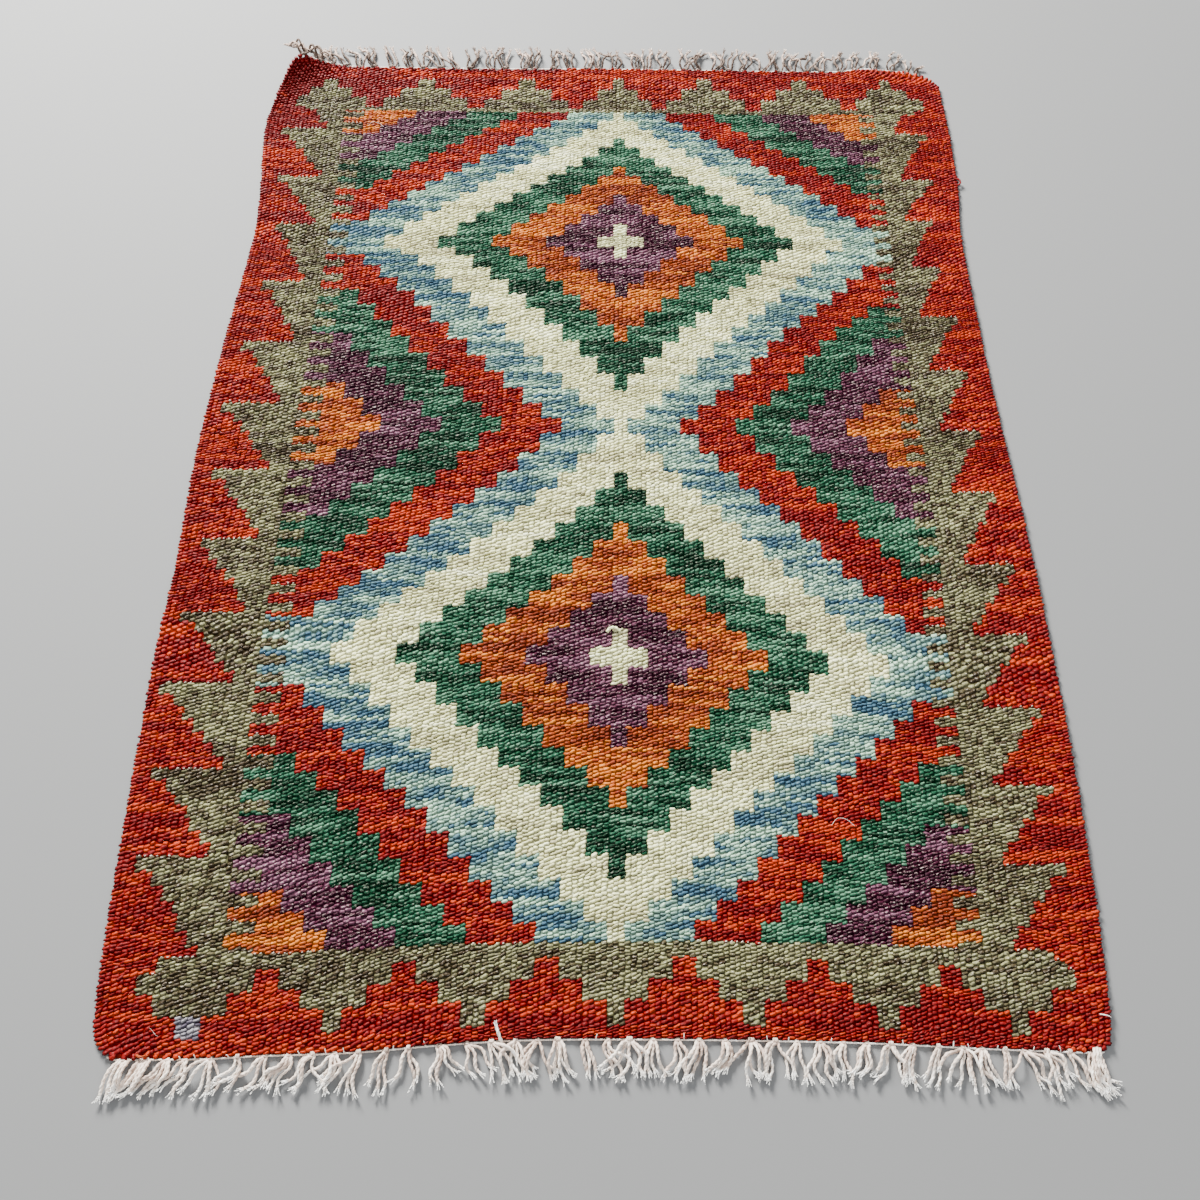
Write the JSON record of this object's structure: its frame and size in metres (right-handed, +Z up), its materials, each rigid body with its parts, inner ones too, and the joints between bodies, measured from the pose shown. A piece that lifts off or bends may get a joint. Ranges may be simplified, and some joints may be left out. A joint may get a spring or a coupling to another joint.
{
  "type": "kilim rug",
  "caption": "Small flat-woven wool kilim with stepped diamonds, toothed borders and a knotted cotton fringe at both ends, lying flat with one far corner curled up.",
  "frame": {"origin": "middle of the rug's footprint, fringes included, on the floor", "axes": "+X across the rug along the weft, +Y along the warp to the far end, +Z up"},
  "size_m": [0.6384, 0.9146, 0.0163],
  "materials": {
    "kilim_wool": "matte weft-faced wool, many dye lots",
    "warp_cotton": "matte plied undyed cotton"
  },
  "bodies": {
    "root": {"kilim_body": "kilim_wool", "fringe_near": "warp_cotton", "fringe_far": "warp_cotton"}
  },
  "joints": []
}
